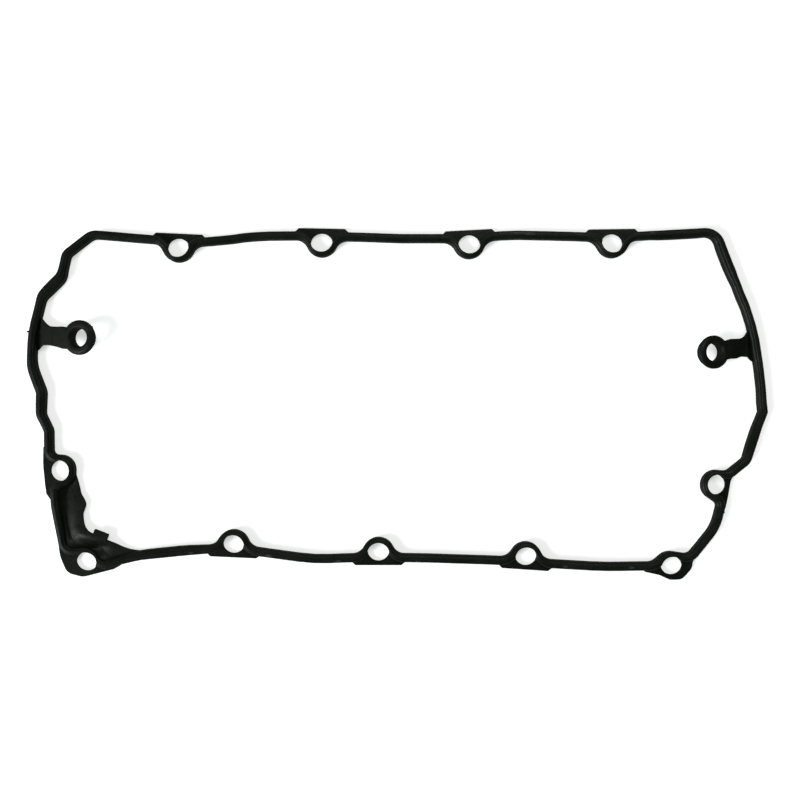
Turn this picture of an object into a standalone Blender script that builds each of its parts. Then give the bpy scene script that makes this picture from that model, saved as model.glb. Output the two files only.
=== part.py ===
# Valve cover gasket: one moulded rubber loop with a domed top, eleven bolt holes
# in flat webs, two flanged rings on arms and a dished apron in one corner.
# Metres, +Z up. The long side runs along X, the underside rests on z = 0 and
# the origin is under the middle of the outline.

import math

import bmesh
import bpy
from mathutils import Matrix

MM = 0.001

# Section of the strip, in millimetres: a tall bar with a domed top and a crest along it.
# The dome bends at a share of the half-width, a share of its drop below the top.
STRIP_WIDTH = 5.0
STRIP_HEIGHT = 7.0
CREST_WIDTH = 0.8
DOME_DROP = 1.1
DOME_BEND = (0.68, 0.4)
FOOT_EDGE = 0.5

# Bolt holes: pitch along the long sides, loop of the strip round each, web and tab
BOLT_PITCH = 88.0
LOOP_RADIUS = 9.8
LOOP_FILLET = 7.6
LOOP_FLANK = math.radians(60)
HOLE_RADIUS = 6.8
HOLE_SHIFT = 2.0
SIDE_HOLE_RADIUS = 6.1
SIDE_HOLE_SHIFT = 0.4
WEB_BOTTOM = 0.8
WEB_TOP = 2.9
WEB_DISC = 7.7
TAB_HALF = 14.0
TAB_STEP = 2.8
TAB_PROUD = 2.3
TAB_SINK = 0.3

# Flanged rings and their arms
RING_BORE = 10.9
RING_FLANGE = 20.0
RING_SPIGOT = 17.0
RING_LENGTH = 7.0
RING_FLANGE_THICK = 3.2
RING_TILT = math.radians(15)
RING_DOME = 1.2
RING_ROUND = 0.6
ARM_THICK = 2.4
ARM_EDGE = 0.5
ARM_ROOT_HEIGHT = 2.4
ARM_ROOT_RISE = 1.8
ARM_ROOT = 5.0

# Dished apron in the corner
APRON_THICK = 2.2
APRON_VALLEY = 3.0
APRON_WALL = 5.4
APRON_LIP = 6.2
APRON_EDGE = 0.5
NUB_SIZE = (9.0, 4.4, 2.6)
NUB_PLACE = (9.2, 17.1, 4.9)
NUB_TURN = math.radians(-21)

# How finely round stretches are cut, how near two points of a line are one point, how
# near points of a mesh are welded, how slight a bend gets no arc, how flat a face stays
# whole, how far solids overlap and how far cutters run past
ARC_STEP = math.radians(20)
ROUND_STEPS = 24
NEAR = 0.8
WELD = 0.01 * MM
STRAIGHT = math.radians(1)
FLAT = math.radians(0.05)
OVERLAP = 1.2
PAST = 3.0

# Loop centres. The long rows keep the pitch, and each boss sits a little off its row.
TOP_FIRST = -132.0
TOP_ROW = ((-0.4, 95.8), (-1.6, 98.9), (-0.1, 97.9), (-1.6, 98.5))
TOP_TURNS = (-2.7, -1.2, 3.0, 0.8)
LOW_FIRST = -98.6
LOW_ROW = ((-0.3, -86.0), (-0.6, -90.7), (0.8, -93.4))
LOW_TURNS = (-2.6, 0.0, -3.8)
LEFT_HOLE = (-204.0, -40.6)
CORNER_HOLE = (-188.1, -96.5)
RIGHT_HOLE = (194.0, -49.0)
LAST_HOLE = (166.4, -99.0)

# Inner wall where the arms stand on it, and each ring's place measured from there
LEFT_WALL = -218.2
RIGHT_WALL = 215.7
LEFT_REACH = 27.4
RIGHT_REACH = 25.6
LEFT_RING_Y = 39.5
RIGHT_RING_Y = 30.9

# Corners of the inner wall as x, y, radius, clockwise, without the loops of the two long
# rows. Bends of the long sides are measured from the middle between two bolt holes, loops
# of the short sides from their bolt hole, both ends along X from the wall by the arm, and
# the two stretches named LOW from the middle of the part.
TOP_BENDS = [(6.8, 1.5, 120), (2.6, -1.0, 150), (-18.4, 1.4, 90)]
RIGHT_END = [
    (-24.5, 101.2, 7.5), (-17.9, 84.5, 60), (-10.1, 65.2, 150), (-1.6, 38.4, 80),
    (3.3, -5.4, 2.5), (0.4, -11.8, 5),
]
RIGHT_LOOP = [
    (15.8, 15.6, 3), (6.0, 7.8, 5), (-9.5, 9.4, 9.0), (-9.5, -5.2, 8.8), (-0.3, -11.6, 3),
]
LOW_RIGHT = [(191.0, -74.0, 25)]
LAST_LOOP = [(10.6, 7.4, 5), (-4.0, 10.1, 9.7), (-11.7, 3.2, 7.6)]
LOW_BENDS = [(1.2, 0.0, 150), (-13.4, 1.0, 150), (5.1, -3.4, 100)]
LOW_LEFT = [(-129.1, -86.0, 90), (-155.3, -88.8, 40)]
CORNER_LOOP = [(9.5, 1.2, 3.5), (4.6, 9.7, 9.7), (-10.8, 9.7, 4)]
LEFT_LOOP = [(0.1, -20.9, 30), (-0.4, -10.4, 2.4), (9.2, -9.0, 8.4), (9.2, 9.2, 9.0), (-4.0, 9.8, 3)]
LEFT_END = [
    (10.0, -15.8, 8), (5.4, -6.1, 6), (6.0, 7.3, 12), (-0.3, 23.8, 25), (0.3, 42.0, 60),
    (5.7, 63.4, 8), (17.4, 75.2, 12), (20.6, 88.9, 4), (34.6, 99.7, 6),
]

# Outlines of the webs beside the four side bolt holes, measured from their hole. The
# outline closes along a disc round the hole, between the two angles in degrees.
LEFT_WEB = [
    (-5.8, 8.6, 0), (-6.0, 16.0, 0), (-9.4, 16.0, 0), (-10.6, 13.8, 0), (-10.6, 3.6, 0),
    (-9.4, -8.7, 0), (-8.6, -14.2, 0), (-6.0, -17.8, 0), (-3.8, -16.9, 0), (-3.6, -9.2, 0),
]
LEFT_WEB_DISC = (-105, 100)
CORNER_WEB = [
    (-11.7, 7.6, 0), (-15.1, 12.0, 0), (-15.7, 17.0, 0), (-17.9, 17.0, 0), (-16.3, 4.0, 20),
    (-11.9, -6.2, 7), (-2.3, -8.7, 9), (16.5, -3.9, 1.5), (20.3, -1.7, 0), (19.7, 0.9, 0),
    (10.6, -1.7, 0),
]
CORNER_WEB_DISC = (-12, 90)
RIGHT_WEB = [
    (2.0, -11.0, 0), (2.5, -16.0, 0), (4.2, -17.2, 0), (5.4, -14.0, 0), (6.9, -7.0, 0),
    (8.6, 3.0, 8), (13.2, 9.2, 0), (9.0, 8.0, 0),
]
RIGHT_WEB_DISC = (90, 230)
LAST_WEB = [
    (-12.4, 1.2, 0), (-18.9, 1.0, 0), (-18.9, -0.2, 0), (-15.6, -3.3, 1), (-7.5, -4.9, 4),
    (-0.8, -7.9, 4), (6.4, -7.7, 5), (12.6, -0.9, 6), (13.0, 3.0, 5), (16.2, 8.2, 0),
    (19.6, 13.0, 0), (17.6, 14.5, 0), (11.6, 6.0, 0),
]
LAST_WEB_DISC = (40, 140)

# Stations along each arm: distance from the wall as a share of the arm's reach, then the
# half-widths up and down from the axis of its ring
LEFT_ARM = [
    (-0.04, 12.9, 8.1), (0.04, 12.8, 6.9), (0.13, 11.7, 4.7), (0.20, 9.6, 4.4), (0.27, 8.0, 4.4),
    (0.34, 7.1, 4.6), (0.47, 6.8, 5.4), (0.62, 6.8, 6.6), (0.72, 6.4, 6.8),
]
RIGHT_ARM = [
    (-0.02, 15.3, 5.9), (0.06, 14.7, 4.6), (0.13, 13.4, 3.0), (0.18, 11.3, 2.7), (0.24, 9.5, 2.6),
    (0.32, 8.5, 2.7), (0.43, 8.2, 3.7), (0.59, 8.0, 4.0), (0.71, 7.0, 4.8),
]

# Each line across the apron runs from a root inside the strip to the free edge, measured
# from the corner bolt hole
APRON_LINES = [
    (-9.2, 53.9, -6.3, 53.0), (-11.7, 49.3, -4.2, 46.4), (-15.9, 46.3, -3.0, 41.9),
    (-18.7, 39.5, -0.6, 37.9), (-18.8, 35.5, 0.2, 35.2), (-18.3, 31.5, -0.8, 31.9),
    (-17.8, 27.5, -1.5, 29.5), (-17.0, 22.5, -0.8, 24.0), (-16.1, 16.7, 0.9, 21.0),
    (-14.3, 11.1, 3.7, 18.9), (-9.3, 8.4, 8.9, 17.1), (-0.9, 8.3, 13.1, 14.4),
    (3.9, 7.6, 18.0, 12.2), (7.3, 1.5, 21.7, 10.3), (14.9, 1.3, 25.9, 8.7), (26.8, 4.7, 28.4, 8.0),
]
# Along such a line: share of its length, and height as shares of the wall above the valley
# and of the lip above the valley
APRON_SHAPE = [
    (0.0, 1.0, 0.0), (0.12, 0.85, 0.0), (0.22, 0.5, 0.0), (0.32, 0.15, 0.0), (0.38, 0.0, 0.05),
    (0.5, 0.0, 0.3), (0.65, 0.0, 0.7), (0.8, 0.0, 0.95), (0.95, 0.0, 1.0),
]
# How much of the wall's and of the lip's height each line has
APRON_RISES = [
    (0.2, 0.1), (0.5, 0.1), (0.9, 0.1), (0.9, 0.15), (0.8, 0.2), (0.5, 0.25), (0.35, 0.3), (0.35, 0.4),
    (0.6, 0.7), (1.0, 1.0), (1.0, 1.0), (0.9, 0.85), (0.7, 0.6), (0.6, 0.35), (0.4, 0.15), (0.1, 0.0),
]


def turned(x, y, angle):
    return (x * math.cos(angle) - y * math.sin(angle), x * math.sin(angle) + y * math.cos(angle))


def arc(centre, radius, start, end):
    # Points on an arc, angles in radians, both ends included
    count = max(1, math.ceil(abs(end - start) / ARC_STEP))
    angles = [start + (end - start) * i / count for i in range(count + 1)]
    return [(centre[0] + radius * math.cos(a), centre[1] + radius * math.sin(a)) for a in angles]


def rounded(corners):
    # A closed line through corners (x, y, radius), each corner replaced by its own arc
    points = []
    for i, (x, y, radius) in enumerate(corners):
        before = corners[i - 1]
        after = corners[(i + 1) % len(corners)]
        heading_in = math.atan2(y - before[1], x - before[0])
        heading_out = math.atan2(after[1] - y, after[0] - x)
        turn = (heading_out - heading_in + math.pi) % (2 * math.pi) - math.pi
        if radius == 0 or abs(turn) < STRAIGHT:
            points.append((x, y))
            continue
        reach = radius * math.tan(abs(turn) / 2)
        side = math.copysign(math.pi / 2, turn)
        centre_x = x - reach * math.cos(heading_in) + radius * math.cos(heading_in + side)
        centre_y = y - reach * math.sin(heading_in) + radius * math.sin(heading_in + side)
        centre = (centre_x, centre_y)
        first = heading_in - side
        points += arc(centre, radius, first, first + turn)
    return [point for i, point in enumerate(points) if math.dist(point, points[i - 1]) > NEAR]


def row_loop(centre, outward, turn):
    # Corners of the strip's loop round a bolt hole in a long side, in the order of travel
    half = LOOP_RADIUS * math.tan(LOOP_FLANK / 2)
    foot = half + LOOP_RADIUS / math.tan(LOOP_FLANK)
    shape = [(-foot, 0, LOOP_FILLET), (-half, -LOOP_RADIUS, LOOP_RADIUS)]
    shape += [(half, -LOOP_RADIUS, LOOP_RADIUS), (foot, 0, LOOP_FILLET)]
    corners = []
    for x, y, radius in shape:
        lean = turn if y == 0 else 0
        shifted = turned(x * outward, y * outward, lean)
        corners.append((centre[0] + shifted[0], centre[1] + shifted[1], radius))
    return corners


def row_centres():
    top = [(TOP_FIRST + BOLT_PITCH * i + off, y) for i, (off, y) in enumerate(TOP_ROW)]
    low = [(LOW_FIRST + BOLT_PITCH * i + off, y) for i, (off, y) in enumerate(LOW_ROW)]
    return top, low


def between(first, second, bend):
    # Corner of the inner wall between two bolt holes
    along, across, radius = bend
    return ((first[0] + second[0]) / 2 + along, (first[1] + second[1]) / 2 + across, radius)


def moved(points, place):
    # Points with their first two numbers measured from a place
    return [(point[0] + place[0], point[1] + place[1]) + tuple(point[2:]) for point in points]


def inner_wall():
    top, low = row_centres()
    corners = moved(LEFT_END, (LEFT_WALL, 0))
    for i, centre in enumerate(top):
        if i > 0:
            corners.append(between(top[i - 1], centre, TOP_BENDS[i - 1]))
        corners += row_loop(centre, 1, math.radians(TOP_TURNS[i]))
    corners += moved(RIGHT_END, (RIGHT_WALL, 0))
    corners += moved(RIGHT_LOOP, RIGHT_HOLE) + LOW_RIGHT + moved(LAST_LOOP, LAST_HOLE)
    leftward = [LAST_HOLE] + low[::-1]
    for i, bend in enumerate(LOW_BENDS):
        centre = leftward[i + 1]
        corners.append(between(leftward[i], centre, bend))
        corners += row_loop(centre, -1, math.radians(LOW_TURNS[len(low) - 1 - i]))
    corners += LOW_LEFT + moved(CORNER_LOOP, CORNER_HOLE) + moved(LEFT_LOOP, LEFT_HOLE)
    return rounded(corners)


def strip_section():
    # The strip's section: x outwards from the inner wall, y up
    middle = STRIP_WIDTH / 2
    shoulder = STRIP_HEIGHT - DOME_DROP
    bend = (middle * DOME_BEND[0], STRIP_HEIGHT - DOME_DROP * DOME_BEND[1])
    right = [(middle - FOOT_EDGE, 0), (middle, FOOT_EDGE), (middle, shoulder), bend]
    right.append((CREST_WIDTH / 2, STRIP_HEIGHT))
    left = [(-x, y) for x, y in right[::-1]]
    return [(middle + x, y) for x, y in right + left]


def collection(name):
    made = bpy.data.collections.new(name)
    bpy.context.scene.collection.children.link(made)
    return made


def line_object(name, points, flat):
    # A closed curve object through points in millimetres
    data = bpy.data.curves.new(name, "CURVE")
    data.dimensions = "2D" if flat else "3D"
    spline = data.splines.new("POLY")
    spline.points.add(len(points) - 1)
    for point, (x, y) in zip(spline.points, points):
        point.co = (x * MM, y * MM, 0, 1)
    spline.use_cyclic_u = True
    made = bpy.data.objects.new(name, data)
    bpy.context.scene.collection.objects.link(made)
    return made


def as_mesh(source, home):
    # The evaluated curve as a welded mesh object of the same name, in its place
    bpy.context.view_layer.update()
    graph = bpy.context.evaluated_depsgraph_get()
    data = bpy.data.meshes.new_from_object(source.evaluated_get(graph))
    name = source.name
    place = source.matrix_world.copy()
    bpy.data.objects.remove(source)
    made = mesh_object(name, data, home)
    made.matrix_world = place
    return made


def mesh_object(name, data, home):
    shape = bmesh.new()
    shape.from_mesh(data)
    bmesh.ops.remove_doubles(shape, verts=shape.verts, dist=WELD)
    bmesh.ops.recalc_face_normals(shape, faces=shape.faces)
    bmesh.ops.connect_verts_nonplanar(shape, angle_limit=FLAT, faces=shape.faces)
    shape.to_mesh(data)
    shape.free()
    data.name = name
    made = bpy.data.objects.new(name, data)
    home.objects.link(made)
    return made


def helper(made):
    made.hide_render = True
    made.display_type = "WIRE"
    return made


def plate(name, points, bottom, top, home):
    # A flat outline extruded between two heights
    source = line_object(name, points, True)
    source.data.fill_mode = "BOTH"
    source.data.extrude = (top - bottom) / 2 * MM
    source.location.z = (top + bottom) / 2 * MM
    return helper(as_mesh(source, home))


def strip(home):
    section = line_object("strip_section", strip_section(), True)
    source = line_object("strip", inner_wall()[::-1], False)
    source.data.twist_mode = "Z_UP"
    source.data.bevel_mode = "OBJECT"
    source.data.bevel_object = section
    made = as_mesh(source, home)
    bpy.data.objects.remove(section)
    return made


def row_web(centre, outward, turn):
    # Outline of the flat web round one bolt hole of a long side, with its proud tab
    foot = TAB_HALF + TAB_STEP
    edge = STRIP_WIDTH + TAB_PROUD
    inside = STRIP_WIDTH - OVERLAP
    slant = math.atan2(inside, foot)
    tangent = slant - math.acos(WEB_DISC / math.hypot(foot, inside))
    sunk = STRIP_WIDTH - TAB_SINK
    shape = [(foot, inside), (foot, sunk), (TAB_HALF, edge), (-TAB_HALF, edge)]
    shape += [(-foot, sunk), (-foot, inside)]
    shape += arc((0, 0), WEB_DISC, -math.pi - tangent, tangent)
    return moved([turned(x * outward, y * outward, turn) for x, y in shape], centre)


def side_web(outline, hole, disc):
    # Outline of the flat web beside a bolt hole of a short side
    start, end = (math.radians(angle) for angle in disc)
    round_hole = [(x, y, 0) for x, y in arc((0, 0), WEB_DISC, start, end)]
    return rounded(moved(outline + round_hole, hole))


def side_webs():
    return {
        "left": side_web(LEFT_WEB, LEFT_HOLE, LEFT_WEB_DISC),
        "corner": side_web(CORNER_WEB, CORNER_HOLE, CORNER_WEB_DISC),
        "right": side_web(RIGHT_WEB, RIGHT_HOLE, RIGHT_WEB_DISC),
        "last": side_web(LAST_WEB, LAST_HOLE, LAST_WEB_DISC),
    }


def lens(centre, inward, radius, shift):
    # Outline of a bolt hole: two equal arcs, the outer one centred a little further in
    half = math.acos(shift / 2 / radius)
    shape = arc((0, 0), radius, -half, half)
    shape += arc((shift, 0), radius, math.pi - half, math.pi + half)[1:-1]
    return moved([turned(x, y, inward) for x, y in shape], centre)


def hole_outlines():
    top, low = row_centres()
    up = math.radians(90)
    holes = [lens(centre, -up, HOLE_RADIUS, HOLE_SHIFT) for centre in top]
    holes += [lens(centre, up, HOLE_RADIUS, HOLE_SHIFT) for centre in low + [CORNER_HOLE, LAST_HOLE]]
    holes.append(lens(LEFT_HOLE, 0, SIDE_HOLE_RADIUS, SIDE_HOLE_SHIFT))
    holes.append(lens(RIGHT_HOLE, math.pi, SIDE_HOLE_RADIUS, SIDE_HOLE_SHIFT))
    return holes


def loft(name, sections, home):
    # A solid through closed sections of equally many points, with flat ends
    shape = bmesh.new()
    rings = [[shape.verts.new([v * MM for v in point]) for point in section] for section in sections]
    count = len(rings[0])
    for near, far in zip(rings, rings[1:]):
        for i in range(count):
            j = (i + 1) % count
            shape.faces.new((near[i], near[j], far[j], far[i]))
    shape.faces.new(rings[0][::-1])
    shape.faces.new(rings[-1])
    data = bpy.data.meshes.new(name)
    shape.to_mesh(data)
    shape.free()
    return helper(mesh_object(name, data, home))


def arm_height(distance):
    # Middle of the arm's thickness: a short steep root, then a steady rise
    if distance <= ARM_ROOT:
        share = max(distance, 0) / ARM_ROOT
        return ARM_ROOT_HEIGHT + ARM_ROOT_RISE * share * share * (3 - 2 * share)
    return ARM_ROOT_HEIGHT + ARM_ROOT_RISE + (distance - ARM_ROOT) * math.tan(RING_TILT)


def arm(name, wall_x, reach, axis_y, stations, home):
    # An arm from the wall to its ring. The reach is negative on the right side.
    sections = []
    for share, up, down in stations:
        x = wall_x + reach * share
        low = arm_height(abs(reach) * share) - ARM_THICK / 2
        high = low + ARM_THICK
        near = axis_y - down
        far = axis_y + up
        sections.append([
            (x, near + ARM_EDGE, low), (x, far - ARM_EDGE, low), (x, far, low + ARM_EDGE),
            (x, far, high - ARM_EDGE), (x, far - ARM_EDGE, high), (x, near + ARM_EDGE, high),
            (x, near, high - ARM_EDGE), (x, near, low + ARM_EDGE),
        ])
    return loft(name, sections, home)


def ring(name, wall_x, reach, axis_y, home):
    # Turned ring: domed flange above, plain spigot below, tilted so that its free side stands up
    flange = RING_FLANGE / 2
    bore = RING_BORE / 2
    spigot = RING_SPIGOT / 2
    top = RING_FLANGE_THICK / 2
    bottom = top - RING_LENGTH
    edge = RING_ROUND
    profile = [
        (flange - RING_DOME, top - edge / 2), (flange - edge / 2, top - RING_DOME),
        (flange, top - RING_DOME - edge), (flange - edge / 2, -top + edge / 3),
        (spigot + edge / 3, -top), (spigot, -top - edge), (spigot, bottom + edge),
        (spigot - edge, bottom), (bore + edge, bottom), (bore, bottom + edge),
        (bore, top - RING_DOME), (bore + edge, top - edge / 2), (bore + RING_DOME, top),
    ]
    data = bpy.data.meshes.new(name + "_profile")
    edges = [(i, (i + 1) % len(profile)) for i in range(len(profile))]
    data.from_pydata([(r * MM, 0, z * MM) for r, z in profile], edges, [])
    source = bpy.data.objects.new(name, data)
    bpy.context.scene.collection.objects.link(source)
    screw = source.modifiers.new("Turn", "SCREW")
    screw.steps = ROUND_STEPS
    screw.render_steps = ROUND_STEPS
    screw.use_merge_vertices = True
    screw.merge_threshold = WELD
    source.location = ((wall_x + reach) * MM, axis_y * MM, arm_height(abs(reach)) * MM)
    source.rotation_euler.y = math.copysign(RING_TILT, -reach)
    return helper(as_mesh(source, home))


def apron(home):
    # Dished: down from the strip to a valley, then up to the free edge
    sections = []
    for line, (wall_share, lip_share) in zip(APRON_LINES, APRON_RISES):
        (root_x, root_y), (edge_x, edge_y) = moved([line[:2], line[2:]], CORNER_HOLE)
        wall_rise = (APRON_WALL - APRON_VALLEY) * wall_share
        lip_rise = (APRON_LIP - APRON_VALLEY) * lip_share
        top = []
        bottom = []
        for share, wall, lip in APRON_SHAPE:
            x = root_x + (edge_x - root_x) * share
            y = root_y + (edge_y - root_y) * share
            level = APRON_VALLEY + wall_rise * wall + lip_rise * lip
            top.append((x, y, level))
            bottom.append((x, y, level - APRON_THICK))
        high = top[-1][2] - APRON_EDGE
        low = bottom[-1][2] + APRON_EDGE
        sections.append(top + [(edge_x, edge_y, high), (edge_x, edge_y, low)] + bottom[::-1])
    return loft("apron", sections, home)


def nub(home):
    # Small block on the apron's free edge
    shape = bmesh.new()
    bmesh.ops.create_cube(shape, size=1)
    length, width, thick = (v * MM for v in NUB_SIZE)
    centre = moved([NUB_PLACE], CORNER_HOLE)[0]
    place = Matrix.Translation([v * MM for v in centre]) @ Matrix.Rotation(NUB_TURN, 4, "Z")
    bmesh.ops.transform(shape, matrix=place @ Matrix.Diagonal((length, width, thick, 1)), verts=shape.verts)
    data = bpy.data.meshes.new("nub")
    shape.to_mesh(data)
    shape.free()
    return helper(mesh_object("nub", data, home))


def boolean(target, operation, others):
    # One exact Boolean for each helper, in order, then the result becomes the mesh
    for other in others:
        modifier = target.modifiers.new(other.name, "BOOLEAN")
        modifier.operation = operation
        modifier.solver = "EXACT"
        modifier.object = other
    bpy.context.view_layer.update()
    graph = bpy.context.evaluated_depsgraph_get()
    data = bpy.data.meshes.new_from_object(target.evaluated_get(graph))
    target.modifiers.clear()
    old = target.data
    target.data = data
    bpy.data.meshes.remove(old)


def rubber():
    made = bpy.data.materials.new("black_rubber")
    made.use_nodes = True
    shader = made.node_tree.nodes["Principled BSDF"]
    shader.inputs["Base Color"].default_value = (0.020, 0.021, 0.019, 1)
    shader.inputs["Roughness"].default_value = 0.46
    shader.inputs["Metallic"].default_value = 0.0
    return made


def settle(target, helpers):
    # Puts the origin under the middle of the outline and the underside on z = 0
    points = [vertex.co for vertex in target.data.vertices]
    low = [min(point[axis] for point in points) for axis in range(3)]
    high = [max(point[axis] for point in points) for axis in range(3)]
    shift = Matrix.Translation((-(low[0] + high[0]) / 2, -(low[1] + high[1]) / 2, -low[2]))
    target.data.transform(shift)
    for made in helpers:
        made.matrix_world = shift @ made.matrix_world


def build():
    for old in list(bpy.data.objects):
        bpy.data.objects.remove(old, do_unlink=True)
    part = collection("valve_cover_gasket")
    cutters = collection("cutters")
    top, low = row_centres()
    gasket = strip(part)
    gasket.name = "gasket"
    joined = []
    for i, centre in enumerate(top):
        outline = row_web(centre, 1, math.radians(TOP_TURNS[i]))
        joined.append(plate(f"top_web_{i}", outline, WEB_BOTTOM, WEB_TOP, cutters))
    for i, centre in enumerate(low):
        outline = row_web(centre, -1, math.radians(LOW_TURNS[i]))
        joined.append(plate(f"low_web_{i}", outline, WEB_BOTTOM, WEB_TOP, cutters))
    for name, outline in side_webs().items():
        joined.append(plate(name + "_web", outline, WEB_BOTTOM, WEB_TOP, cutters))
    joined.append(apron(cutters))
    joined.append(nub(cutters))
    joined.append(arm("left_arm", LEFT_WALL, LEFT_REACH, LEFT_RING_Y, LEFT_ARM, cutters))
    joined.append(arm("right_arm", RIGHT_WALL, -RIGHT_REACH, RIGHT_RING_Y, RIGHT_ARM, cutters))
    joined.append(ring("left_ring", LEFT_WALL, LEFT_REACH, LEFT_RING_Y, cutters))
    joined.append(ring("right_ring", RIGHT_WALL, -RIGHT_REACH, RIGHT_RING_Y, cutters))
    boolean(gasket, "UNION", joined)
    holes = [
        plate(f"hole_{i}", outline, -PAST, STRIP_HEIGHT + PAST, cutters)
        for i, outline in enumerate(hole_outlines())
    ]
    boolean(gasket, "DIFFERENCE", holes)
    settle(gasket, joined + holes)
    gasket.data.materials.clear()
    gasket.data.materials.append(rubber())


build()
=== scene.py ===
import math
import bmesh
import bpy
from mathutils import Matrix, Vector, noise


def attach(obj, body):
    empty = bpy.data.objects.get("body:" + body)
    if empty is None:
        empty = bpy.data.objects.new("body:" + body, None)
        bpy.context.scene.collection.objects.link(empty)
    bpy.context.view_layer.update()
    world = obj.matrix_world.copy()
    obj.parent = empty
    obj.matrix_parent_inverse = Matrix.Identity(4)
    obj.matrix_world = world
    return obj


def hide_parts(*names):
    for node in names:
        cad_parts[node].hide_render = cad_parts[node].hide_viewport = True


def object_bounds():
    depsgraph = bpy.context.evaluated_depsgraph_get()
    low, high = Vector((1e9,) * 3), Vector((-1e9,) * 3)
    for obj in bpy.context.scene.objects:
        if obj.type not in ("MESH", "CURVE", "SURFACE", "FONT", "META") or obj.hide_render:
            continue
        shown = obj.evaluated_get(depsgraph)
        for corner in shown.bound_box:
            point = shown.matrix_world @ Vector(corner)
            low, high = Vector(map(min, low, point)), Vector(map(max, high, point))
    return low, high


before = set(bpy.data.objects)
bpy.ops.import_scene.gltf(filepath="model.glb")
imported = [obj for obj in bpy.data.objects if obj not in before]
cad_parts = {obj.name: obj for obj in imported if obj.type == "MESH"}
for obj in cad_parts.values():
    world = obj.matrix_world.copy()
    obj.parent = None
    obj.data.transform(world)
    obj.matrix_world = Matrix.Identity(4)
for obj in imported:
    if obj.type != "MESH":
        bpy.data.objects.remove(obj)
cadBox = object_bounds()
mm = 0.001
print("frame loaded")

# The loop's own measures are in millimetres, seen from above, with +X right and +Y up.
# The finished mesh is moved by strip's middle, so that it lies where the part does.
strip = {
    "width": 5.0, "height": 7.0, "crest": 0.8, "domeDrop": 1.1, "footEdge": 0.5,
    "footRound": 0.25, "sideRound": 0.4, "shoulderRound": 0.8, "bendRound": 0.7,
    # where the dome bends, as shares of the half-width and of the drop, and how far the crest stands up
    "bendAt": (0.62, 0.42), "crestFoot": 0.9, "crestRise": 0.32, "crestFootRound": 0.35, "crestRound": 0.3,
    "sectionStep": math.radians(24), "sectionNearest": 0.02, "sharpFrom": math.radians(32),
    "arcStep": math.radians(7), "spacing": 2.6, "nearest": 0.3,
    # slow and quick wander of the sides and of the height: scale, then a place in the noise
    "wander": 0.10, "slow": (0.045, 1.7), "quick": (0.21, 5.1), "lift": 0.06, "liftNoise": (0.08, 9.3),
    "middle": (-0.273, 0.192),
    # the moulding swells and thins: x, y, reach, then more outside and more inside
    "swells": (
        (-217, 10, 22, 0.7, 0.0), (-208, 72, 13, 0.8, 0.8), (-107, 97, 15, -0.4, 0.4),
        (-140, -88, 28, 0.8, 0.0), (172, 100, 20, 0.0, 0.5), (197, 86, 17, -0.2, 0.9),
        (204, 70, 10, -0.4, 0.2), (212, 52, 12, 0.2, -0.5), (217, 15, 16, 0.4, -0.7),
        (214, -22, 12, 0.0, 0.4),
    ),
}

boltHole = {
    "pitch": 88.0, "radius": 6.8, "shift": 2.0, "sideRadius": 6.1, "sideShift": 0.4,
    "loop": 9.8, "fillet": 7.6, "flank": math.radians(60), "past": 3,
    # how single rows and holes depart from the rest
    "topDrop": 0.5, "lowRadius": 6.65, "leftRadius": 6.35, "rightMove": -0.5, "cornerMove": 0.3,
    "topFirst": -132.0, "topRow": ((-0.4, 95.8), (-1.6, 98.9), (-0.1, 97.9), (-1.6, 98.5)),
    "topTurns": (-2.7, -1.2, 3.0, 0.8),
    "lowFirst": -98.6, "lowRow": ((-0.3, -86.0), (-0.6, -90.7), (0.8, -93.4)),
    "lowTurns": (-2.6, 0.0, -3.8),
    "left": (-204.0, -40.6), "corner": (-188.1, -96.5),
    "right": (194.0, -49.0), "last": (166.4, -99.0),
}

# Corners of the inner wall as x, y, radius, clockwise. Bends of the long sides are
# measured from the middle between two bolt holes.
wallLine = {
    "topLeft": [(-197.6, 88.9, 4), (-183.6, 99.7, 6)],
    "topBends": [(6.8, 1.5, 120), (2.6, -1.0, 150), (-18.4, 1.4, 90)],
    "right": [
        (191.2, 101.2, 7.5), (197.8, 84.5, 60), (205.6, 65.2, 150), (214.1, 38.4, 80),
        (219.0, -5.4, 2.5), (216.1, -11.8, 5), (209.3, -32.9, 3), (199.7, -40.7, 5),
        (184.2, -39.2, 9.0), (184.2, -54.2, 8.8), (193.7, -60.6, 3), (190.4, -73.5, 25),
        (176.4, -91.0, 5), (162.4, -88.9, 9.7), (154.7, -95.8, 7.6),
    ],
    "lowBends": [(1.2, 0.0, 150), (-13.4, 1.0, 150), (5.1, -3.4, 100)],
    "left": [
        (-129.1, -86.0, 90), (-155.3, -88.8, 40), (-178.6, -95.3, 3.5), (-183.5, -86.8, 9.7),
        (-198.9, -86.8, 4), (-203.9, -61.5, 30), (-204.4, -51.0, 2.4), (-194.8, -49.6, 8.4),
        (-194.8, -31.4, 9.0), (-208.0, -30.8, 3), (-208.2, -15.8, 8), (-212.8, -6.1, 6),
        (-212.2, 7.3, 12), (-218.5, 23.8, 25), (-217.9, 42.0, 60), (-212.5, 63.4, 8),
        (-200.8, 75.2, 12),
    ],
}


def turned(x, y, angle):
    return (x * math.cos(angle) - y * math.sin(angle), x * math.sin(angle) + y * math.cos(angle))


def arcPoints(centre, radius, start, end, step):
    count = max(1, math.ceil(abs(end - start) / step))
    angles = [start + (end - start) * i / count for i in range(count + 1)]
    return [(centre[0] + radius * math.cos(a), centre[1] + radius * math.sin(a)) for a in angles]


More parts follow.
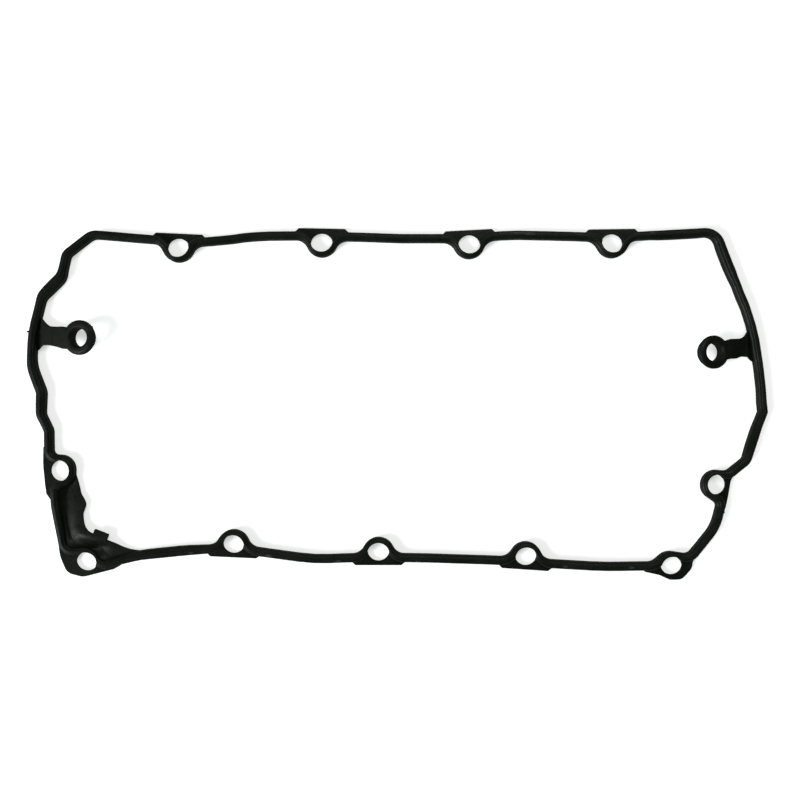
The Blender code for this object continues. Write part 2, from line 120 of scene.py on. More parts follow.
def roundedLine(corners, step, nearest):
    # closed line through corners, each one replaced by its own arc
    points = []
    for i, (x, y, radius) in enumerate(corners):
        before = corners[i - 1]
        after = corners[(i + 1) % len(corners)]
        headingIn = math.atan2(y - before[1], x - before[0])
        headingOut = math.atan2(after[1] - y, after[0] - x)
        turn = (headingOut - headingIn + math.pi) % (2 * math.pi) - math.pi
        if radius == 0 or abs(turn) < math.radians(1):  # sharp, or next to no corner
            points.append((x, y))
            continue
        reach = radius * math.tan(abs(turn) / 2)
        side = math.copysign(math.pi / 2, turn)
        start = (x - reach * math.cos(headingIn), y - reach * math.sin(headingIn))
        centre = (
            start[0] + radius * math.cos(headingIn + side), start[1] + radius * math.sin(headingIn + side),
        )
        points += arcPoints(centre, radius, headingIn - side, headingIn - side + turn, step)
    return [p for i, p in enumerate(points) if math.dist(p, points[i - 1]) > nearest]


def loopCorners(centre, outward, turn):
    # the strip's loop round a bolt hole in a long side, in the order of travel
    half = boltHole["loop"] * math.tan(boltHole["flank"] / 2)
    foot = half + boltHole["loop"] / math.tan(boltHole["flank"])
    shape = [(-foot, 0, boltHole["fillet"]), (-half, -boltHole["loop"], boltHole["loop"])]
    shape += [(half, -boltHole["loop"], boltHole["loop"]), (foot, 0, boltHole["fillet"])]
    corners = []
    for x, y, radius in shape:
        moved = turned(x * outward, y * outward, turn if y == 0 else 0)
        corners.append((centre[0] + moved[0], centre[1] + moved[1], radius))
    return corners


def rowCentres():
    pitch = boltHole["pitch"]
    top = [(boltHole["topFirst"] + pitch * i + off, y) for i, (off, y) in enumerate(boltHole["topRow"])]
    low = [(boltHole["lowFirst"] + pitch * i + off, y) for i, (off, y) in enumerate(boltHole["lowRow"])]
    return top, low


def between(first, second, bend):
    return ((first[0] + second[0]) / 2 + bend[0], (first[1] + second[1]) / 2 + bend[1], bend[2])


def innerWall():
    top, low = rowCentres()
    corners = list(wallLine["topLeft"])
    for i, centre in enumerate(top):
        if i > 0:
            corners.append(between(top[i - 1], centre, wallLine["topBends"][i - 1]))
        loop = loopCorners(centre, 1, math.radians(boltHole["topTurns"][i]))
        corners += loop[:1] + [(x, y - boltHole["topDrop"], radius) for x, y, radius in loop[1:3]] + loop[3:]
    corners += wallLine["right"]
    leftward = [boltHole["last"]] + low[::-1]
    for i, bend in enumerate(wallLine["lowBends"]):
        centre = leftward[i + 1]
        corners.append(between(leftward[i], centre, bend))
        corners += loopCorners(centre, -1, math.radians(boltHole["lowTurns"][len(low) - 1 - i]))
    return roundedLine(corners + wallLine["left"], strip["arcStep"], strip["nearest"])


def resampled(points, spacing):
    # long straight stretches get points of their own, so that they can wander a little
    fine = []
    for i, here in enumerate(points):
        there = points[(i + 1) % len(points)]
        parts = max(1, round(math.dist(here, there) / spacing))
        for k in range(parts):
            share = k / parts
            fine.append(tuple(a + (b - a) * share for a, b in zip(here, there)))
    return fine


def outwards(points):
    # unit outward directions of a clockwise line, lengthened a little at its corners
    found = []
    for i, here in enumerate(points):
        before = Vector(here) - Vector(points[i - 1])
        after = Vector(points[(i + 1) % len(points)]) - Vector(here)
        first = Vector((-before.y, before.x)).normalized()
        second = Vector((-after.y, after.x)).normalized()
        middle = (first + second).normalized()
        found.append(middle / max(0.7, middle.dot(first)))
    return found


meshing = {"weld": 0.01, "flatWithin": math.radians(0.05)}


def meshObject(name, shape):
    bmesh.ops.remove_doubles(shape, verts=shape.verts, dist=meshing["weld"] * mm)
    bmesh.ops.recalc_face_normals(shape, faces=shape.faces)
    data = bpy.data.meshes.new(name)
    shape.to_mesh(data)
    shape.free()
    made = bpy.data.objects.new(name, data)
    bpy.context.scene.collection.objects.link(made)
    return made


def loft(name, sections, closed):
    # skin through sections of equally many points, in millimetres
    shape = bmesh.new()
    rings = [[shape.verts.new([v * mm for v in point]) for point in section] for section in sections]
    count = len(rings[0])
    pairs = list(zip(rings, rings[1:]))
    if closed:
        pairs.append((rings[-1], rings[0]))
    for near, far in pairs:
        for i in range(count):
            j = (i + 1) % count
            shape.faces.new((near[i], near[j], far[j], far[i]))
    if not closed:
        shape.faces.new(rings[0][::-1])
        shape.faces.new(rings[-1])
    bmesh.ops.connect_verts_nonplanar(shape, angle_limit=meshing["flatWithin"], faces=shape.faces)
    return meshObject(name, shape)


def roundedSection(corners, step):
    # section corners (x, y, radius) to points
    return roundedLine(corners, step, strip["sectionNearest"])


def stripSection():
    middle = strip["width"] / 2
    top = strip["height"]
    across, down = strip["bendAt"]
    crest = strip["crest"] * strip["crestFoot"]
    right = [
        (middle - strip["footEdge"], 0, strip["footRound"]), (middle, strip["footEdge"], strip["sideRound"]),
        (middle, top - strip["domeDrop"], strip["shoulderRound"]),
        (middle * across, top - strip["domeDrop"] * down, strip["bendRound"]),
        (crest, top - strip["crestRise"], strip["crestFootRound"]), (crest / 2, top, strip["crestRound"]),
    ]
    corners = right + [(-x, y, radius) for x, y, radius in right[::-1]]
    return [(middle + x, y) for x, y in roundedSection(corners, strip["sectionStep"])]


def swellAt(x, y):
    # how much wider the strip is outside and inside, fading out from each place
    outer = 0
    inner = 0
    for placeX, placeY, reach, outside, inside in strip["swells"]:
        near = max(0, 1 - (math.dist((x, y), (placeX, placeY)) / reach) ** 2)
        share = near * near * (3 - 2 * near)
        outer += outside * share
        inner += inside * share
    return outer, inner


def noiseAt(x, y, scale, place):
    return noise.noise(Vector((x * scale, y * scale, place)))


def sweptStrip():
    line = resampled(innerWall(), strip["spacing"])
    normals = outwards(line)
    section = stripSection()
    sections = []
    for (x, y), out in zip(line, normals):
        shift = strip["wander"] * (noiseAt(x, y, *strip["slow"]) + noiseAt(x, y, *strip["quick"]) / 2)
        lift = strip["lift"] * noiseAt(x, y, *strip["liftNoise"])
        outer, inner = swellAt(x, y)
        points = []
        for along, up in section:
            side = along / strip["width"]
            reach = along + shift + outer * side - inner * (1 - side)
            points.append((x + out.x * reach, y + out.y * reach, up + lift * up / strip["height"]))
        sections.append(points)
    return loft("gasketRubber", sections, True)


web = {
    "bottom": 0.8, "top": 2.9, "disc": 7.7, "tabHalf": 14.0, "tabStep": 2.8, "tabProud": 2.3, "tabSunk": 0.3,
    "edge": 0.25, "edgeSteps": 2, "overlap": 1.2, "discStep": math.radians(10), "nearest": 0.2,
}

# Webs beside the holes of the two ends: corners x, y, radius before and after the disc
# round the hole, and the disc's first and last angle in degrees
sideWeb = {
    "leftWeb": {
        "hole": "left", "disc": (-105, 100),
        "before": [
            (-210.0, -24.6, 0), (-213.4, -24.6, 0.8), (-214.6, -26.8, 1), (-214.6, -37.0, 30),
            (-213.4, -49.3, 20), (-212.6, -54.8, 2), (-210.0, -58.4, 0.8), (-207.8, -57.5, 0),
            (-207.6, -49.8, 0),
        ],
        "after": [(-209.8, -32.0, 0)],
    },
    "cornerWeb": {
        "hole": "corner", "disc": (-12, 90),
        "before": [
            (-206.0, -79.5, 0), (-204.4, -92.5, 20), (-200.0, -102.7, 7), (-190.4, -105.2, 9),
            (-171.6, -100.4, 1.5), (-167.8, -98.2, 0), (-168.4, -95.6, 0), (-177.5, -98.2, 0),
        ],
        "after": [(-199.8, -88.9, 0), (-203.2, -84.5, 0), (-203.8, -79.5, 0)],
    },
    "rightWeb": {
        "hole": "right", "disc": (90, 230),
        "before": [(203.0, -41.0, 0)],
        "after": [
            (196.0, -60.0, 0), (196.5, -65.0, 0), (198.2, -66.2, 0.6), (199.4, -63.0, 2),
            (200.9, -56.0, 30), (202.6, -46.0, 8), (207.2, -39.8, 0),
        ],
    },
    "lastWeb": {
        "hole": "last", "disc": (40, 140),
        "before": [
            (147.5, -99.2, 0), (150.8, -102.3, 1), (158.9, -103.9, 4), (165.6, -106.9, 4),
            (172.8, -106.7, 5), (179.0, -99.9, 6), (179.4, -96.0, 5), (182.6, -90.8, 0),
            (186.0, -86.0, 0), (184.0, -84.5, 0), (178.0, -93.0, 0),
        ],
        "after": [(154.0, -97.8, 0), (147.5, -98.0, 0)],
    },
}


def plate(name, points, bottom, top, edge):
    # flat outline with its top and bottom rims rounded off
    data = bpy.data.curves.new(name, "CURVE")
    data.dimensions = "2D"
    spline = data.splines.new("POLY")
    spline.points.add(len(points) - 1)
    for point, (x, y) in zip(spline.points, points):
        point.co = (x * mm, y * mm, 0, 1)
    spline.use_cyclic_u = True
    data.fill_mode = "BOTH"
    data.extrude = ((top - bottom) / 2 - edge) * mm
    data.bevel_depth = edge * mm
    data.bevel_resolution = web["edgeSteps"]
    data.offset = -edge * mm
    source = bpy.data.objects.new(name, data)
    bpy.context.scene.collection.objects.link(source)
    source.location.z = (top + bottom) / 2 * mm
    bpy.context.view_layer.update()
    graph = bpy.context.evaluated_depsgraph_get()
    shape = bmesh.new()
    shape.from_mesh(bpy.data.meshes.new_from_object(source.evaluated_get(graph)))
    shape.transform(source.matrix_world)
    bpy.data.objects.remove(source)
    return meshObject(name, shape)


def rowWeb(centre, outward, turn):
    foot = web["tabHalf"] + web["tabStep"]
    edge = strip["width"] + web["tabProud"]
    inside = strip["width"] - web["overlap"]
    sunk = strip["width"] - web["tabSunk"]
    tangent = math.atan2(inside, foot) - math.acos(web["disc"] / math.hypot(foot, inside))
    shape = [(foot, inside), (foot, sunk), (web["tabHalf"], edge), (-web["tabHalf"], edge)]
    shape += [(-foot, sunk), (-foot, inside)]
    shape += arcPoints((0, 0), web["disc"], -math.pi - tangent, tangent, web["discStep"])
    moved = [turned(x * outward, y * outward, turn) for x, y in shape]
    return [(centre[0] + x, centre[1] + y) for x, y in moved]


def sideWebs():
    outlines = {}
    for name, shape in sideWeb.items():
        start, end = (math.radians(angle) for angle in shape["disc"])
        disc = arcPoints(boltHole[shape["hole"]], web["disc"], start, end, web["discStep"])
        corners = shape["before"] + [(x, y, 0) for x, y in disc] + shape["after"]
        outlines[name] = roundedLine(corners, web["discStep"], web["nearest"])
    return outlines


ringPiece = {
    "bore": 10.9, "flange": 20.0, "leftFlange": 20.9, "spigot": 17.0, "length": 7.0, "flangeThick": 3.2,
    "tilt": math.radians(15), "rightTilt": math.radians(17),
    "left": (-190.3, 39.6), "right": (190.1, 30.9), "steps": 72,
    # roundings of the turned profile and how far its corners stand back
    "edge": 0.5, "spigotDraft": 0.2, "flangeFoot": 0.7, "flangeRound": 0.9, "domeIn": 1.6, "domeRound": 1.4,
    "lipIn": 1.1, "lipRound": 0.6, "lipDrop": 1.0, "profileStep": math.radians(20),
}

armPiece = {
    "thick": 2.4, "rootRise": 1.8, "root": 5.0, "rootHeight": 2.4, "leftWall": -218.2, "rightWall": 215.7,
    "leftDrop": 0.6, "rightDrop": 0.2, "edge": 0.55, "edgeStep": math.radians(30), "parts": 4,
    # distance from the wall, half-width up, half-width down
    "leftStations": [
        (-1.0, 13.5, 7.5), (1.2, 13.4, 6.3), (3.7, 12.3, 4.1), (5.5, 10.2, 3.8), (7.4, 8.6, 3.8),
        (9.2, 7.7, 4.0), (13.0, 7.4, 4.8), (17.0, 7.4, 6.0), (19.6, 7.0, 6.2),
    ],
    "rightStations": [
        (-0.5, 15.5, 5.7), (1.6, 14.9, 4.4), (3.4, 13.6, 2.8), (4.7, 11.5, 2.5), (6.1, 9.7, 2.4),
        (8.3, 8.7, 2.5), (11.0, 8.4, 3.5), (15.0, 8.2, 3.8), (18.2, 7.2, 4.6),
    ],
}


def armHeight(reach):
    # middle of the arm's thickness: a short steep root, then a steady rise
    root = armPiece["rootHeight"]
    if reach <= armPiece["root"]:
        share = max(reach, 0) / armPiece["root"]
        return root + armPiece["rootRise"] * share * share * (3 - 2 * share)
    return root + armPiece["rootRise"] + (reach - armPiece["root"]) * math.tan(ringPiece["tilt"])


def smoothStations(stations, parts):
    # Catmull-Rom through the stations, so that the sides of the arms and of the apron curve
    found = []
    for i in range(len(stations) - 1):
        a = stations[max(i - 1, 0)]
        b = stations[i]
        c = stations[i + 1]
        d = stations[min(i + 2, len(stations) - 1)]
        for k in range(parts):
            t = k / parts
            found.append(tuple(
                q + t / 2 * (r - p + t * (2 * p - 5 * q + 4 * r - s + t * (3 * q - p - 3 * r + s)))
                for p, q, r, s in zip(a, b, c, d)
            ))
    return found + [stations[-1]]


def arm(name, wallX, side, axisY, stations):
    sections = []
    edge = armPiece["edge"]
    for reach, up, down in smoothStations(stations, armPiece["parts"]):
        x = wallX + side * reach
        low = armHeight(reach) - armPiece["thick"] / 2
        high = low + armPiece["thick"]
        near = axisY - down
        far = axisY + up
        corners = [(near, low, edge), (far, low, edge), (far, high, edge), (near, high, edge)]
        outline = roundedSection(corners, armPiece["edgeStep"])
        sections.append([(x, y, z) for y, z in outline])
    return loft(name, sections, False)


def ring(name, centre, side, wallX, across, tilt):
    flange = across / 2
    bore = ringPiece["bore"] / 2
    spigot = ringPiece["spigot"] / 2
    top = ringPiece["flangeThick"] / 2
    bottom = top - ringPiece["length"]
    edge = ringPiece["edge"]
    flangeRound = ringPiece["flangeRound"]
    corners = [
        (bore, bottom, edge), (spigot - ringPiece["spigotDraft"], bottom, edge), (spigot, -top, edge),
        (flange, -top, ringPiece["flangeFoot"]), (flange, top - flangeRound, flangeRound),
        (flange - ringPiece["domeIn"], top, ringPiece["domeRound"]),
        (bore + ringPiece["lipIn"], top, ringPiece["lipRound"]), (bore, top - ringPiece["lipDrop"], edge),
    ]
    profile = roundedSection(corners, ringPiece["profileStep"])
    rows = []
    for i in range(ringPiece["steps"]):
        angle = 2 * math.pi * i / ringPiece["steps"]
        rows.append([(r * math.cos(angle), r * math.sin(angle), z) for r, z in profile])
    made = loft(name, rows, True)
    height = armHeight(abs(centre[0] - wallX))
    place = Matrix.Translation((centre[0] * mm, centre[1] * mm, height * mm))
    made.data.transform(place @ Matrix.Rotation(side * tilt, 4, "Y"))
    return made


# Each line across the apron runs from a root inside the strip to the free edge
apronPiece = {
    "thick": 2.2, "valley": 3.0, "wall": 5.4, "lip": 6.2, "across": 0.97, "parts": 4,
    # the free edge is rounded off: where it starts to bend, how far it drops there and at the end
    "edgeStart": 0.985, "edgeDrop": 0.12, "edgeRound": 0.5,
    # share of a line's length, then shares of the wall's and of the lip's height
    "shape": [
        (0.0, 1.0, 0.0), (0.12, 0.85, 0.0), (0.22, 0.5, 0.0), (0.32, 0.15, 0.0), (0.38, 0.0, 0.05),
        (0.5, 0.0, 0.3), (0.65, 0.0, 0.7), (0.8, 0.0, 0.95), (0.95, 0.0, 1.0),
    ],
    # how much of both heights each line has
    "rises": [
        (0.2, 0.1), (0.5, 0.1), (0.9, 0.1), (0.9, 0.15), (0.8, 0.2), (0.5, 0.25), (0.35, 0.3), (0.35, 0.4),
        (0.6, 0.7), (1.0, 1.0), (1.0, 1.0), (0.9, 0.8), (0.7, 0.45), (0.6, 0.15), (0.4, 0.0), (0.1, 0.0),
        (0.0, 0.0),
    ],
    "lines": [
        (-197.3, -42.6, -194.4, -43.5), (-199.8, -47.2, -192.3, -50.1), (-204.0, -50.2, -191.1, -54.6),
        (-206.8, -57.0, -188.7, -58.6), (-206.9, -61.0, -187.9, -61.3), (-206.4, -65.0, -188.9, -64.6),
        (-205.9, -69.0, -189.6, -67.0), (-205.1, -74.0, -188.9, -72.5), (-204.2, -79.8, -187.2, -75.5),
        (-202.4, -85.4, -184.4, -77.6), (-197.4, -88.1, -179.2, -79.4), (-189.0, -88.2, -175.0, -82.1),
        (-184.2, -88.9, -170.1, -84.3), (-180.8, -95.0, -166.4, -86.2), (-173.2, -95.2, -162.2, -87.8),
        (-161.3, -91.8, -159.3, -88.6), (-156.0, -91.4, -153.8, -89.2),
    ],
}

nubPiece = {
    "size": (9.0, 4.4, 2.6), "place": (-178.9, -79.4, 4.9), "turn": math.radians(-21),
    "edge": 0.3, "steps": 3,
}


def apron():
    across = smoothStations(apronPiece["shape"], apronPiece["parts"])
    lines = [line + rise for line, rise in zip(apronPiece["lines"], apronPiece["rises"])]
    thick = apronPiece["thick"]
    rounding = apronPiece["edgeRound"]
    drop = apronPiece["edgeDrop"]
    sections = []
    for rootX, rootY, endX, endY, wallShare, lipShare in smoothStations(lines, apronPiece["parts"]):
        edgeX = rootX + (endX - rootX) * apronPiece["across"]
        edgeY = rootY + (endY - rootY) * apronPiece["across"]
        wallRise = (apronPiece["wall"] - apronPiece["valley"]) * wallShare
        lipRise = (apronPiece["lip"] - apronPiece["valley"]) * lipShare
        top = []
        bottom = []
        for share, wall, lip in across:
            x = rootX + (edgeX - rootX) * share
            y = rootY + (edgeY - rootY) * share
            level = apronPiece["valley"] + wallRise * wall + lipRise * lip
            top.append((x, y, level))
            bottom.append((x, y, level - thick))
        high = top[-1][2]
        low = high - thick
        nearX = rootX + (edgeX - rootX) * apronPiece["edgeStart"]
        nearY = rootY + (edgeY - rootY) * apronPiece["edgeStart"]
        edge = [
            (nearX, nearY, high - drop), (edgeX, edgeY, high - rounding),
            (edgeX, edgeY, low + rounding), (nearX, nearY, low + drop),
        ]
        sections.append(top + edge + bottom[::-1])
    return loft("apron", sections, False)


def nub():
    shape = bmesh.new()
    bmesh.ops.create_cube(shape, size=1)
    size = Matrix.Diagonal([v * mm for v in nubPiece["size"]] + [1])
    place = Matrix.Translation([v * mm for v in nubPiece["place"]])
    turn = Matrix.Rotation(nubPiece["turn"], 4, "Z")
    bmesh.ops.transform(shape, matrix=place @ turn @ size, verts=shape.verts)
    bmesh.ops.bevel(
        shape, geom=shape.edges[:], offset=nubPiece["edge"] * mm, segments=nubPiece["steps"],
        affect="EDGES", profile=0.5,
    )
    return meshObject("nub", shape)


# Flash left by the mould's parting line: x, y, height, size
nibPiece = {
    "places": (
        (-222.9, 43.5, 5.2, 1.3), (211.0, -37.3, 5.2, 1.4), (198.4, -65.9, 2.0, 1.5),
        (-183.6, 46.1, 6.4, 1.2), (200.3, 27.4, 5.0, 1.2),
    ),
    "segments": 10, "rings": 7,
}


def nibs():
    made = []
    for i, (x, y, z, size) in enumerate(nibPiece["places"]):
        shape = bmesh.new()
        place = Matrix.Translation((x * mm, y * mm, z * mm))
        bmesh.ops.create_uvsphere(
            shape, u_segments=nibPiece["segments"], v_segments=nibPiece["rings"],
            radius=size / 2 * mm, matrix=place,
        )
        made.append(meshObject(f"nib{i}", shape))
    return made


def lens(centre, inward, radius, shift):
    # bolt hole: two equal arcs, the outer one centred a little further in
    half = math.acos(shift / 2 / radius)
    step = strip["arcStep"]
    shape = arcPoints((0, 0), radius, -half, half, step)
    shape += arcPoints((shift, 0), radius, math.pi - half, math.pi + half, step)[1:-1]
    moved = [turned(x, y, inward) for x, y in shape]
    return [(centre[0] + x, centre[1] + y) for x, y in moved]


def holeCutters():
    top, low = rowCentres()
    radius = boltHole["radius"]
    shift = boltHole["shift"]
    sideShift = boltHole["sideShift"]
    cornerX, cornerY = boltHole["corner"]
    rightX, rightY = boltHole["right"]
    rightPlace = (rightX + boltHole["rightMove"], rightY)
    up = math.radians(90)
    outlines = [lens((x, y - boltHole["topDrop"]), -up, radius, shift) for x, y in top]
    outlines += [lens(centre, up, boltHole["lowRadius"], shift) for centre in low + [boltHole["last"]]]
    outlines.append(lens((cornerX + boltHole["cornerMove"], cornerY), up, radius, shift))
    outlines.append(lens(boltHole["left"], 0, boltHole["leftRadius"], sideShift))
    outlines.append(lens(rightPlace, math.pi, boltHole["sideRadius"], sideShift))
    heights = (-boltHole["past"], strip["height"] + boltHole["past"])
    cutters = []
    for i, outline in enumerate(outlines):
        sections = [[(x, y, z) for x, y in outline] for z in heights]
        cutters.append(loft(f"hole{i}", sections, False))
    return cutters


def joined(target, operation, others):
    # exact Booleans in order, then the result becomes the mesh and the helpers go
    for other in others:
        modifier = target.modifiers.new(other.name, "BOOLEAN")
        modifier.operation = operation
        modifier.solver = "EXACT"
        modifier.object = other
    bpy.context.view_layer.update()
    graph = bpy.context.evaluated_depsgraph_get()
    data = bpy.data.meshes.new_from_object(target.evaluated_get(graph))
    target.modifiers.clear()
    target.data = data
    for other in others:
        bpy.data.objects.remove(other)


def rubberBody():
    body = sweptStrip()
    top, low = rowCentres()
    pieces = []
    for name, centres, turns, outward in (("topWeb", top, "topTurns", 1), ("lowWeb", low, "lowTurns", -1)):
        for i, centre in enumerate(centres):
            outline = rowWeb(centre, outward, math.radians(boltHole[turns][i]))
            pieces.append(plate(f"{name}{i}", outline, web["bottom"], web["top"], web["edge"]))
    for name, outline in sideWebs().items():
        pieces.append(plate(name, outline, web["bottom"], web["top"], web["edge"]))
    pieces += [apron(), nub()] + nibs()
    left = ringPiece["left"]
    right = ringPiece["right"]
    leftWall = armPiece["leftWall"]
    rightWall = armPiece["rightWall"]
    leftAxis = left[1] - armPiece["leftDrop"]
    rightAxis = right[1] - armPiece["rightDrop"]
    pieces.append(arm("leftArm", leftWall, 1, leftAxis, armPiece["leftStations"]))
    pieces.append(arm("rightArm", rightWall, -1, rightAxis, armPiece["rightStations"]))
    pieces.append(ring("leftRing", left, -1, leftWall, ringPiece["leftFlange"], ringPiece["tilt"]))
    pieces.append(ring("rightRing", right, 1, rightWall, ringPiece["flange"], ringPiece["rightTilt"]))
    joined(body, "UNION", pieces)
    joined(body, "DIFFERENCE", holeCutters())
    return body


def settle(body):
    # in the part's own frame, and nothing stands outside its box
    low = min(v.co.z for v in body.data.vertices)
    shift = Vector((strip["middle"][0] * mm, strip["middle"][1] * mm, -low))
    least, most = (Vector(corner) for corner in cadBox)
    for vertex in body.data.vertices:
        place = vertex.co + shift
        vertex.co = [min(max(place[axis], least[axis]), most[axis]) for axis in range(3)]


def smoothShaded(body, angle):
    for face in body.data.polygons:
        face.use_smooth = True
    body.data.set_sharp_from_angle(angle=angle)
    weighted = body.modifiers.new("Weighted", "WEIGHTED_NORMAL")
    weighted.keep_sharp = True


rubberLook = {
    "deep": (0.0026, 0.0044, 0.0020), "worn": (0.0068, 0.0078, 0.0060), "chalk": (0.016, 0.018, 0.017),
    # noises: scale, detail, roughness
    "cloudNoise": (75, 5, 0.65), "chalkNoise": (260, 6, 0.7), "grainNoise": (700, 3, 0.6),
    "fineNoise": (1800, 2, 0.5), "coarseNoise": (160, 3, 0.55),
    # a noise from the first to the second value gives a share from the third to the fourth
    "wornShare": (0.36, 0.66, 0, 1), "chalkShare": (0.62, 0.78, 0, 0.6),
    # the same for the roughness of the top; the walls are matt
    "sheen": (0.3, 0.7, 0.30, 0.46), "wall": 0.90,
    # one shine all over; a face is wall below steep and top above flat, by how far it looks up
    "shine": 0.10, "steep": 0.15, "flat": 0.85,
    "coarseWeight": 2.5, "bump": 0.35, "bumpDepth": 0.08,
    # small chalky marks across the strip, and two painted highlights on the top strip's crest (the longest
    # two, at x 73.0 and 80.5); x, y and half-length along x
    "marksAndHighlights": (
        (-124.5, -90.0, 2.2), (-77.5, -91.6, 2.6), (-36.0, -95.0, 2.6), (12.0, -95.4, 2.2),
        (101.0, -98.0, 2.0), (141.0, -98.6, 2.0), (107.5, 103.6, 2.2), (154.0, 103.4, 2.0),
        (20.0, 102.6, 2.0), (73.0, 103.2, 6.0), (80.5, 102.6, 4.5), (-223.4, 26.0, 1.4),
    ),
    "spotHalf": 1.1, "spotDepth": 0.3, "markAndHighlightTint": (0.060, 0.064, 0.060),
    "spotFade": (0.3, 1.1, 1, 0), "spotShare": (0.42, 0.62, 0.25, 0.75),
}


def rubberMaterial():
    made = bpy.data.materials.new("blackRubber")
    made.use_nodes = True
    nodes = made.node_tree.nodes
    links = made.node_tree.links
    shader = nodes["Principled BSDF"]
    where = nodes.new("ShaderNodeTexCoord")

    def noiseNode(scale, detail, rough):
        node = nodes.new("ShaderNodeTexNoise")
        node.inputs["Scale"].default_value = scale
        node.inputs["Detail"].default_value = detail
        node.inputs["Roughness"].default_value = rough
        links.new(where.outputs["Object"], node.inputs["Vector"])
        return node

    def mapped(source, low, high, first, last):
        node = nodes.new("ShaderNodeMapRange")
        node.interpolation_type = "SMOOTHSTEP"
        for socket, value in zip(("From Min", "From Max", "To Min", "To Max"), (low, high, first, last)):
            node.inputs[socket].default_value = value
        links.new(source, node.inputs["Value"])
        return node.outputs["Result"]

    def blended(share, first, second):
        node = nodes.new("ShaderNodeMix")
        node.data_type = "RGBA"
        links.new(share, node.inputs["Factor"])
        for socket, colour in ((node.inputs[6], first), (node.inputs[7], second)):
            if isinstance(colour, tuple):
                socket.default_value = colour + (1,)
            else:
                links.new(colour, socket)
        return node.outputs[2]

    cloud = noiseNode(*rubberLook["cloudNoise"])
    chalk = noiseNode(*rubberLook["chalkNoise"])
    wornShare = mapped(cloud.outputs["Fac"], *rubberLook["wornShare"])
    tint = blended(wornShare, rubberLook["deep"], rubberLook["worn"])
    tint = blended(mapped(chalk.outputs["Fac"], *rubberLook["chalkShare"]), tint, rubberLook["chalk"])
    markAndHighlightSpots = None
    spotHalf = rubberLook["spotHalf"] * mm
    # a pale spot at each listed place: chalky marks on the strip, and at x 73.0 and 80.5 a painted highlight
    # along the top strip's crest
    for x, y, half in rubberLook["marksAndHighlights"]:
        away = nodes.new("ShaderNodeVectorMath")
        away.operation = "SUBTRACT"
        links.new(where.outputs["Object"], away.inputs[0])
        away.inputs[1].default_value = (x * mm, y * mm, strip["height"] * mm)
        spread = nodes.new("ShaderNodeVectorMath")
        spread.operation = "MULTIPLY"
        links.new(away.outputs["Vector"], spread.inputs[0])
        spread.inputs[1].default_value = (1 / (half * mm), 1 / spotHalf, rubberLook["spotDepth"] / spotHalf)
        far = nodes.new("ShaderNodeVectorMath")
        far.operation = "LENGTH"
        links.new(spread.outputs["Vector"], far.inputs[0])
        spot = mapped(far.outputs["Value"], *rubberLook["spotFade"])
        if markAndHighlightSpots is not None:
            larger = nodes.new("ShaderNodeMath")
            larger.operation = "MAXIMUM"
            links.new(markAndHighlightSpots, larger.inputs[0])
            links.new(spot, larger.inputs[1])
            spot = larger.outputs["Value"]
        markAndHighlightSpots = spot
    broken = nodes.new("ShaderNodeMath")
    broken.operation = "MULTIPLY"
    links.new(markAndHighlightSpots, broken.inputs[0])
    links.new(mapped(chalk.outputs["Fac"], *rubberLook["spotShare"]), broken.inputs[1])
    # the pale spots go into the base colour, the chalky marks and the painted highlights alike
    tint = blended(broken.outputs["Value"], tint, rubberLook["markAndHighlightTint"])
    links.new(tint, shader.inputs["Base Color"])

    facing = nodes.new("ShaderNodeSeparateXYZ")
    shape = nodes.new("ShaderNodeNewGeometry")
    links.new(shape.outputs["Normal"], facing.inputs["Vector"])
    upright = nodes.new("ShaderNodeMath")
    upright.operation = "ABSOLUTE"
    links.new(facing.outputs["Z"], upright.inputs[0])
    shader.inputs["Specular IOR Level"].default_value = rubberLook["shine"]

    grain = noiseNode(*rubberLook["grainNoise"])
    sheen = mapped(grain.outputs["Fac"], *rubberLook["sheen"])
    matt = nodes.new("ShaderNodeMix")
    level = mapped(upright.outputs["Value"], rubberLook["steep"], rubberLook["flat"], 0, 1)
    links.new(level, matt.inputs["Factor"])
    matt.inputs[2].default_value = rubberLook["wall"]
    links.new(sheen, matt.inputs[3])
    links.new(matt.outputs[0], shader.inputs["Roughness"])

    fine = noiseNode(*rubberLook["fineNoise"])
    coarse = noiseNode(*rubberLook["coarseNoise"])
    mix = nodes.new("ShaderNodeMath")
    mix.operation = "MULTIPLY_ADD"
    mix.inputs[1].default_value = rubberLook["coarseWeight"]
    links.new(coarse.outputs["Fac"], mix.inputs[0])
    links.new(fine.outputs["Fac"], mix.inputs[2])
    bump = nodes.new("ShaderNodeBump")
    bump.inputs["Strength"].default_value = rubberLook["bump"]
    bump.inputs["Distance"].default_value = rubberLook["bumpDepth"] * mm
    links.new(mix.outputs["Value"], bump.inputs["Height"])
    links.new(bump.outputs["Normal"], shader.inputs["Normal"])
    return made


gasket = rubberBody()
settle(gasket)
smoothShaded(gasket, strip["sharpFrom"])
gasket.data.materials.clear()
gasket.data.materials.append(rubberMaterial())
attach(gasket, "root")
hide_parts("gasket")
gasket.data.calc_loop_triangles()
print("gasket built,", len(gasket.data.loop_triangles), "triangles")

studio = {
    "floorSize": 6.0, "floorColour": (0.93, 0.93, 0.93), "floorRough": 0.9, "floorGlow": 0.5,
    "worldColour": (0.92, 0.96, 1.0), "worldPower": 0.18,
    "cameraHeight": 0.62, "cameraPlace": (0.001601, 0.002359), "viewWidth": 0.4872, "sensor": 36,
}

# Lamps: degrees anticlockwise from +X, degrees up from the floor, metres away, size, watts, colour
softboxes = {
    "keyLeft": (208, 34, 3.0, (1.5, 1.5), 98, (0.93, 0.97, 1.0)),
    "farSide": (75, 62, 3.0, (1.2, 1.2), 26, (1.0, 1.0, 0.96)),
}


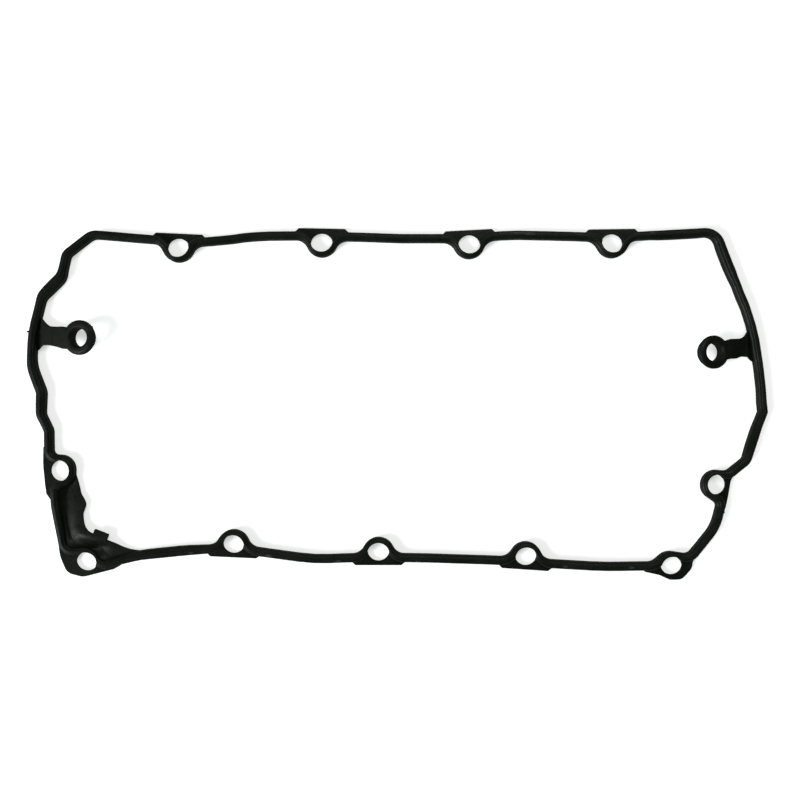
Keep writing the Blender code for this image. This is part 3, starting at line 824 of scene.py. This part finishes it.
def studioFloor():
    shape = bmesh.new()
    bmesh.ops.create_grid(shape, x_segments=1, y_segments=1, size=studio["floorSize"] / 2)
    floor = meshObject("studioFloor", shape)
    made = bpy.data.materials.new("paleFloor")
    made.use_nodes = True
    nodes = made.node_tree.nodes
    links = made.node_tree.links
    shader = nodes["Principled BSDF"]
    shader.inputs["Base Color"].default_value = studio["floorColour"] + (1,)
    shader.inputs["Roughness"].default_value = studio["floorRough"]
    # a little glow, for the camera and for mirror-like rays, brings the pale floor up to white
    path = nodes.new("ShaderNodeLightPath")
    seen = nodes.new("ShaderNodeMath")
    seen.operation = "MAXIMUM"
    links.new(path.outputs["Is Camera Ray"], seen.inputs[0])
    links.new(path.outputs["Is Glossy Ray"], seen.inputs[1])
    glow = nodes.new("ShaderNodeMath")
    glow.operation = "MULTIPLY"
    glow.inputs[1].default_value = studio["floorGlow"]
    links.new(seen.outputs["Value"], glow.inputs[0])
    shader.inputs["Emission Color"].default_value = (1, 1, 1, 1)
    links.new(glow.outputs["Value"], shader.inputs["Emission Strength"])
    floor.data.materials.append(made)


def studioWorld():
    world = bpy.data.worlds.new("studio")
    bpy.context.scene.world = world
    world.use_nodes = True
    back = world.node_tree.nodes["Background"]
    back.inputs["Color"].default_value = studio["worldColour"] + (1,)
    back.inputs["Strength"].default_value = studio["worldPower"]


def softbox(name, side, height, far, size, power, colour):
    lamp = bpy.data.lights.new(name, "AREA")
    lamp.shape = "RECTANGLE"
    lamp.size, lamp.size_y = size
    lamp.energy = power
    lamp.color = colour
    made = bpy.data.objects.new(name, lamp)
    x, y = turned(far * math.cos(math.radians(height)), 0, math.radians(side))
    made.location = (x, y, far * math.sin(math.radians(height)))
    made.rotation_euler = (-made.location).to_track_quat("-Z", "Y").to_euler()
    bpy.context.scene.collection.objects.link(made)


def studioCamera():
    camera = bpy.data.cameras.new("photoCamera")
    camera.sensor_fit = "HORIZONTAL"
    camera.sensor_width = studio["sensor"]
    camera.lens = studio["sensor"] * studio["cameraHeight"] / studio["viewWidth"]
    made = bpy.data.objects.new("photoCamera", camera)
    made.location = studio["cameraPlace"] + (studio["cameraHeight"],)
    bpy.context.scene.collection.objects.link(made)
    bpy.context.scene.camera = made


studioFloor()
studioWorld()
for name, values in softboxes.items():
    softbox(name, *values)
studioCamera()
bpy.context.scene.view_settings.view_transform = "Standard"
print("studio ready")
